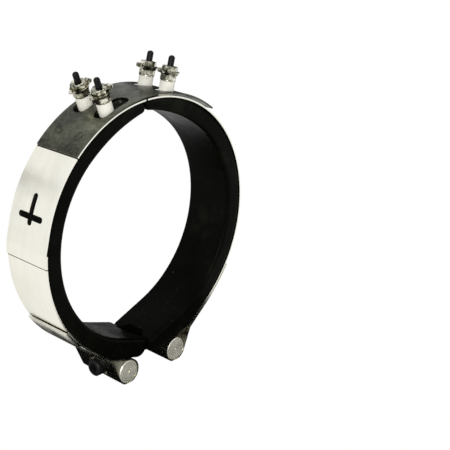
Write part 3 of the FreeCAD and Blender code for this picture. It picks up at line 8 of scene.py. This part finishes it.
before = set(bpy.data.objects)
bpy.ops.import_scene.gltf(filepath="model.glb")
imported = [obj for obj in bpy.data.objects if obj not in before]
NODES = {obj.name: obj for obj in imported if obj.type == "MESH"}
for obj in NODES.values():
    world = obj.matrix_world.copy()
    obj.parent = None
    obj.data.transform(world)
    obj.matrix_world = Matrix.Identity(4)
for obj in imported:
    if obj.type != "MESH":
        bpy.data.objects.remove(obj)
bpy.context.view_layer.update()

# ------------------------------------------------------------------ dimensions
MM = 0.001
RING_Z = 106.9 * MM
CAMERA_AZIMUTH = -43.64
CAMERA_ELEVATION = 21.16
CAMERA_LEAN = 1.36
CAMERA_DISTANCE = 743.0 * MM
FOCAL_PIXELS = 1108.4
FRAME_PIXELS = 450.0
RING_PIXEL = (131.15, 222.06)
FLOOR_HALF_SIZE = 6.0
FLOOR_COLOUR = (0.85, 0.85, 0.84, 1)
AMBIENT = 0.55

# ring angle and half width, in degrees, of the painted shade line at each joint of the strap
SEAM_SHADE = (-90.4, 0.22)
PLATE_EDGE_SHADE = (-43.6, 0.3)
TAIL_SHADE = (-122.4, 0.35)

# name, position, size, power
LAMPS = (
    ("key_left", (-0.9, -0.7, 0.6), (0.5, 0.5), 8.0),
    ("fill_right", (0.9, -0.9, 0.5), (0.5, 0.5), 2.0),
    ("top", (-0.1, 0.1, 1.3), (0.4, 0.4), 4.0),
)

# name, corner, first edge, second edge
CARDS = (
    ("card_overhead", (-0.9, 0.35, 0.75), (1.6, 0.0, 0.0), (0.0, 0.5, 0.45)),
    ("card_right", (0.75, -0.5, 0.02), (0.0, 1.3, 0.0), (0.1, 0.0, 0.9)),
    ("card_under", (-0.055, -0.12, 0.0008), (0.17, 0.0, 0.0), (0.0, 0.26, 0.0)),
    ("card_behind", (-0.7, 0.9, 0.02), (1.5, 0.0, 0.0), (0.0, 0.0, 0.6)),
)


# ----------------------------------------------------------- material building
class Nodes:
    """Short-hand for one material's node tree."""

    def __init__(self, name):
        self.material = bpy.data.materials.new(name)
        self.material.use_nodes = True
        self.tree = self.material.node_tree
        self.tree.nodes.clear()
        self.out = self.add("ShaderNodeOutputMaterial")
        self.shader = self.add("ShaderNodeBsdfPrincipled")
        self.link(self.shader.outputs["BSDF"], self.out.inputs["Surface"])
        self.place = self.add("ShaderNodeTexCoord").outputs["Object"]

    def add(self, kind, **settings):
        node = self.tree.nodes.new(kind)
        for key, value in settings.items():
            setattr(node, key, value)
        return node

    def link(self, output, target):
        self.tree.links.new(output, target)

    def noise(self, scale, detail=3.0, roughness=0.55, stretch=(1, 1, 1), place=None):
        mapping = self.add("ShaderNodeMapping")
        mapping.inputs["Scale"].default_value = stretch
        self.link(place or self.place, mapping.inputs["Vector"])
        node = self.add("ShaderNodeTexNoise")
        node.inputs["Scale"].default_value = scale
        node.inputs["Detail"].default_value = detail
        node.inputs["Roughness"].default_value = roughness
        self.link(mapping.outputs["Vector"], node.inputs["Vector"])
        return node.outputs["Fac"]

    def ramp(self, value, stops):
        node = self.add("ShaderNodeValToRGB")
        band = node.color_ramp
        while len(band.elements) < len(stops):
            band.elements.new(0.5)
        for element, (position, colour) in zip(band.elements, stops):
            element.position = position
            if not isinstance(colour, tuple):
                colour = (colour, colour, colour)
            element.color = (*colour, 1.0)
        self.link(value, node.inputs["Fac"])
        return node.outputs["Color"]

    def mix(self, factor, first, second, blend="MIX"):
        node = self.add("ShaderNodeMix", data_type="RGBA", blend_type=blend)
        for value, socket in ((factor, node.inputs[0]), (first, node.inputs[6]),
                              (second, node.inputs[7])):
            if hasattr(value, "is_linked"):
                self.link(value, socket)
            elif isinstance(value, tuple):
                socket.default_value = (*value, 1.0)
            else:
                socket.default_value = value
        return node.outputs[2]

    def math(self, operation, first, second=None, clamp=False):
        node = self.add("ShaderNodeMath", operation=operation, use_clamp=clamp)
        for value, socket in zip((first, second), node.inputs):
            if value is None:
                continue
            if hasattr(value, "is_linked"):
                self.link(value, socket)
            else:
                socket.default_value = value
        return node.outputs[0]

    def ring_angle(self, piece):
        """The angle round the ring, nought at the top, in the piece's own frame."""
        centre = piece.matrix_world.inverted() @ Vector((0.0, 0.0, RING_Z))
        parts = self.add("ShaderNodeSeparateXYZ")
        self.link(self.place, parts.inputs["Vector"])
        across = self.math("SUBTRACT", parts.outputs["X"], centre.x)
        up = self.math("SUBTRACT", parts.outputs["Z"], centre.z)
        return self.math("ARCTAN2", across, up)

    def lines(self, angle, places):
        """One on the thin lines across the ring at each (angle, half width), else zero."""
        total = None
        for centre, half in places:
            node = self.add("ShaderNodeMath", operation="COMPARE")
            self.link(angle, node.inputs[0])
            node.inputs[1].default_value = math.radians(centre)
            node.inputs[2].default_value = math.radians(half)
            one = node.outputs[0]
            total = one if total is None else self.math("MAXIMUM", total, one)
        return total

    def bump(self, height, strength, distance):
        node = self.add("ShaderNodeBump")
        node.inputs["Strength"].default_value = strength
        node.inputs["Distance"].default_value = distance
        self.link(height, node.inputs["Height"])
        self.link(node.outputs["Normal"], self.shader.inputs["Normal"])

    def colour(self, output):
        self.link(output, self.shader.inputs["Base Color"])

    def rough(self, output):
        self.link(output, self.shader.inputs["Roughness"])

    def set(self, **values):
        for key, value in values.items():
            self.shader.inputs[key.replace("_", " ")].default_value = value


def dress(material, *names):
    for name in names:
        piece = NODES[name]
        piece.data.materials.clear()
        piece.data.materials.append(material)


def polished_strap(piece):
    """Bright sheet with painted shade lines drawn across it at the joints: seam, plate edge and
    folded tail.
    """
    m = Nodes("polished_strap")
    m.set(Metallic=1.0)
    cloud = m.noise(9.0, 3.0, 0.5)
    grain = m.noise(26.0, 3.0, 0.6, (1.0, 10.0, 1.0))
    base = m.ramp(cloud, [(0.32, (0.74, 0.72, 0.60)), (0.5, (0.90, 0.88, 0.77)),
                          (0.68, (0.96, 0.95, 0.87))])
    sheet = m.mix(0.10, base, m.ramp(grain, [(0.3, 0.55), (0.7, 0.95)]))
    # painted shade: near-black lines where the lap edge, the plate edge and the folded tail would
    # shade the strap
    joint_shade = m.lines(m.ring_angle(piece), (SEAM_SHADE, PLATE_EDGE_SHADE, TAIL_SHADE))
    m.colour(m.mix(joint_shade, sheet, (0.03, 0.03, 0.02)))
    m.rough(m.ramp(m.noise(60.0, 4.0), [(0.3, 0.16), (0.75, 0.26)]))
    m.bump(m.noise(10.0, 2.0), 0.10, 0.0015)
    return m.material


def plate_steel():
    m = Nodes("plate_steel")
    m.set(Metallic=0.9)
    cloud = m.noise(34.0, 3.0, 0.55)
    base = m.ramp(cloud, [(0.32, (0.018, 0.019, 0.012)), (0.48, (0.045, 0.048, 0.030)),
                          (0.62, (0.10, 0.105, 0.070)), (0.78, (0.24, 0.24, 0.17))])
    speck = m.noise(420.0, 2.0, 0.6)
    m.colour(m.mix(0.16, base, m.ramp(speck, [(0.4, 0.02), (0.6, 0.22)])))
    m.rough(m.ramp(m.noise(120.0, 3.0), [(0.3, 0.26), (0.7, 0.40)]))
    m.bump(m.noise(24.0, 3.0), 0.15, 0.001)
    return m.material


def dark_sheath():
    m = Nodes("dark_sheath")
    m.set(Metallic=0.0, Specular_IOR_Level=0.02)
    cloud = m.noise(30.0, 4.0, 0.65)
    base = m.ramp(cloud, [(0.35, (0.0012, 0.0014, 0.0009)), (0.58, (0.0026, 0.0030, 0.0018)),
                          (0.78, (0.010, 0.011, 0.007))])
    scuffs = m.ramp(m.noise(210.0, 5.0, 0.75), [(0.64, 0.0), (0.80, 0.10)])
    m.colour(m.mix(0.5, base, scuffs, "ADD"))
    m.rough(m.ramp(m.noise(90.0, 4.0), [(0.3, 0.24), (0.72, 0.40)]))
    m.bump(m.noise(40.0, 3.0), 0.15, 0.001)
    return m.material


def turned_steel(piece):
    """Faint turning marks run in rings round the barrel's own axis."""
    m = Nodes("turned_steel")
    m.set(Metallic=0.5)
    corners = [Vector(corner) for corner in piece.bound_box]
    middle = sum(corners, Vector()) / 8
    centred = m.add("ShaderNodeMapping")
    centred.inputs["Location"].default_value = -middle
    m.link(m.place, centred.inputs["Vector"])
    rings = m.add("ShaderNodeTexWave", wave_type="RINGS", rings_direction="Y")
    rings.inputs["Scale"].default_value = 190.0
    rings.inputs["Distortion"].default_value = 0.6
    m.link(centred.outputs["Vector"], rings.inputs["Vector"])
    blotch = m.noise(150.0, 4.0, 0.6)
    base = m.ramp(blotch, [(0.32, (0.48, 0.47, 0.33)), (0.55, (0.78, 0.75, 0.57)),
                           (0.72, (0.90, 0.88, 0.70))])
    m.colour(m.mix(0.45, base, m.ramp(rings.outputs["Fac"], [(0.12, 0.16), (0.5, 0.72)])))
    m.rough(m.ramp(m.noise(200.0, 3.0), [(0.3, 0.26), (0.7, 0.42)]))
    m.bump(rings.outputs["Fac"], 0.2, 0.0003)
    return m.material


def dark_screw():
    m = Nodes("dark_screw")
    m.set(Metallic=0.0, Specular_IOR_Level=0.15)
    m.colour(m.ramp(m.noise(200.0, 3.0), [(0.3, 0.003), (0.7, 0.012)]))
    m.rough(m.ramp(m.noise(150.0, 2.0), [(0.3, 0.3), (0.7, 0.45)]))
    return m.material


def black_stud():
    m = Nodes("black_stud")
    m.set(Metallic=0.0, Specular_IOR_Level=0.12)
    m.colour(m.ramp(m.noise(260.0, 2.0), [(0.3, 0.002), (0.7, 0.008)]))
    m.rough(m.ramp(m.noise(150.0, 2.0), [(0.3, 0.3), (0.7, 0.45)]))
    return m.material


def cream_ceramic():
    m = Nodes("cream_ceramic")
    cloud = m.ramp(m.noise(120.0, 3.0), [(0.3, (0.78, 0.76, 0.66)), (0.7, (0.90, 0.88, 0.80))])
    spots = m.ramp(m.noise(520.0, 1.0), [(0.70, 1.0), (0.76, 0.25)])
    m.colour(m.mix(1.0, cloud, spots, "MULTIPLY"))
    m.rough(m.ramp(m.noise(300.0, 2.0), [(0.3, 0.5), (0.7, 0.7)]))
    m.bump(m.noise(700.0, 2.0), 0.15, 0.0003)
    return m.material


def plated_hardware():
    m = Nodes("plated_hardware")
    m.set(Metallic=1.0)
    patches = m.noise(260.0, 4.0, 0.6)
    m.colour(m.ramp(patches, [(0.38, (0.05, 0.05, 0.035)), (0.50, (0.36, 0.35, 0.27)),
                              (0.64, (0.86, 0.84, 0.73))]))
    m.rough(m.ramp(m.noise(240.0, 2.0), [(0.3, 0.12), (0.7, 0.24)]))
    m.bump(m.noise(320.0, 2.0), 0.12, 0.0003)
    return m.material


def insulation():
    m = Nodes("insulation")
    m.colour(m.ramp(m.noise(150.0, 3.0), [(0.3, (0.70, 0.68, 0.62)), (0.7, (0.84, 0.82, 0.76))]))
    m.rough(m.ramp(m.noise(300.0, 2.0), [(0.3, 0.8), (0.7, 0.95)]))
    return m.material


TERMINALS = ("left_near", "left_far", "right_near", "right_far")


def dress_all():
    for name in ("strap_left", "strap_right", "strap_upper"):
        dress(polished_strap(NODES[name]), name)
    dress(plate_steel(), "terminal_plate")
    dress(dark_sheath(), "sheath_left", "sheath_right")
    for name in ("barrel_left", "barrel_right"):
        dress(turned_steel(NODES[name]), name)
    dress(dark_screw(), "clamp_screw")
    dress(insulation(), "core_left", "core_right", "element_left", "element_right")
    stud, ceramic, plated = black_stud(), cream_ceramic(), plated_hardware()
    for place in TERMINALS:
        dress(stud, "terminal_stud_" + place)
        dress(ceramic, "bushing_" + place)
        for kind in ("washer_", "lower_nut_", "tab_washer_", "upper_nut_"):
            dress(plated, kind + place)


# ------------------------------------------------------- surroundings and light
def light(name, position, target, size, power):
    data = bpy.data.lights.new(name, "AREA")
    data.shape = "RECTANGLE"
    data.size, data.size_y = size
    data.energy = power
    lamp = bpy.data.objects.new(name, data)
    bpy.context.scene.collection.objects.link(lamp)
    lamp.location = position
    lamp.rotation_euler = (Vector(target) - Vector(position)).to_track_quat("-Z", "Y").to_euler()


def background_rays(tree):
    """One for rays that show the background, straight or in a reflection, else zero."""
    path = tree.nodes.new("ShaderNodeLightPath")
    total = path.outputs["Is Camera Ray"]
    for name in ("Is Glossy Ray", "Is Transmission Ray"):
        either = tree.nodes.new("ShaderNodeMath")
        either.operation = "MAXIMUM"
        tree.links.new(total, either.inputs[0])
        tree.links.new(path.outputs[name], either.inputs[1])
        total = either.outputs[0]
    return total


def build_floor():
    mesh = bpy.data.meshes.new("floor")
    shape = bmesh.new()
    bmesh.ops.create_grid(shape, x_segments=8, y_segments=8, size=FLOOR_HALF_SIZE)
    shape.to_mesh(mesh)
    shape.free()
    floor = bpy.data.objects.new("floor", mesh)
    bpy.context.scene.collection.objects.link(floor)
    material = bpy.data.materials.new("floor_white")
    material.use_nodes = True
    tree = material.node_tree
    tree.nodes.clear()
    out = tree.nodes.new("ShaderNodeOutputMaterial")
    diffuse = tree.nodes.new("ShaderNodeBsdfDiffuse")
    diffuse.inputs["Color"].default_value = FLOOR_COLOUR
    glow = tree.nodes.new("ShaderNodeEmission")
    glow.inputs["Strength"].default_value = 1.0
    blend = tree.nodes.new("ShaderNodeMixShader")
    link = tree.links.new
    link(background_rays(tree), blend.inputs["Fac"])
    link(diffuse.outputs["BSDF"], blend.inputs[1])
    link(glow.outputs["Emission"], blend.inputs[2])
    link(blend.outputs["Shader"], out.inputs["Surface"])
    mesh.materials.append(material)


def build_world():
    world = bpy.data.worlds.new("studio")
    bpy.context.scene.world = world
    world.use_nodes = True
    tree = world.node_tree
    tree.nodes.clear()
    out = tree.nodes.new("ShaderNodeOutputWorld")
    glow = tree.nodes.new("ShaderNodeBackground")
    glow.inputs["Color"].default_value = (1, 1, 1, 1)
    seen = tree.nodes.new("ShaderNodeMath")
    seen.operation = "MULTIPLY_ADD"
    tree.links.new(background_rays(tree), seen.inputs[0])
    seen.inputs[1].default_value = 1.0 - AMBIENT
    seen.inputs[2].default_value = AMBIENT
    tree.links.new(seen.outputs[0], glow.inputs["Strength"])
    tree.links.new(glow.outputs["Background"], out.inputs["Surface"])


def dark_card(name, corner, across, up):
    """A black card out of the camera's sight, which the bright metal reflects."""
    corner, across, up = Vector(corner), Vector(across), Vector(up)
    mesh = bpy.data.meshes.new(name)
    corners = (corner, corner + across, corner + across + up, corner + up)
    mesh.from_pydata([tuple(point) for point in corners], [], [(0, 1, 2, 3)])
    card = bpy.data.objects.new(name, mesh)
    bpy.context.scene.collection.objects.link(card)
    m = Nodes(name)
    m.set(Roughness=0.9, Specular_IOR_Level=0.0)
    m.colour(m.ramp(m.noise(2.0), [(0.3, 0.003), (0.7, 0.006)]))
    mesh.materials.append(m.material)
    card.visible_camera = False
    card.visible_shadow = False
    card.visible_diffuse = False


def build_cards():
    for name, corner, across, up in CARDS:
        dark_card(name, corner, across, up)


def build_lights():
    for name, position, size, power in LAMPS:
        light(name, position, (0, 0, RING_Z), size, power)


def leaned(vector):
    """The band leans a little about its own axis, as seen from the camera."""
    x, y, z = vector
    c, s = math.cos(math.radians(CAMERA_LEAN)), math.sin(math.radians(CAMERA_LEAN))
    return Vector((x * c + z * s, y, z * c - x * s))


def build_camera():
    azimuth = math.radians(CAMERA_AZIMUTH)
    elevation = math.radians(CAMERA_ELEVATION)
    right = leaned((math.cos(azimuth), math.sin(azimuth), 0.0))
    back = leaned((math.sin(azimuth) * math.cos(elevation),
                   -math.cos(azimuth) * math.cos(elevation), math.sin(elevation)))
    data = bpy.data.cameras.new("camera")
    data.sensor_width = 36.0
    data.sensor_fit = "HORIZONTAL"
    data.lens = 36.0 * FOCAL_PIXELS / FRAME_PIXELS
    data.shift_x = (FRAME_PIXELS / 2 - RING_PIXEL[0]) / FRAME_PIXELS
    data.shift_y = (RING_PIXEL[1] - FRAME_PIXELS / 2) / FRAME_PIXELS
    data.clip_start = 0.05
    data.clip_end = 20
    camera = bpy.data.objects.new("camera", data)
    bpy.context.scene.collection.objects.link(camera)
    turn = Matrix((right, back.cross(right), back)).transposed().to_4x4()
    camera.matrix_world = Matrix.Translation(Vector((0, 0, RING_Z)) + back * CAMERA_DISTANCE) @ turn
    bpy.context.scene.camera = camera


dress_all()
build_floor()
build_world()
build_cards()
build_lights()
build_camera()
bpy.context.scene.view_settings.view_transform = "Standard"
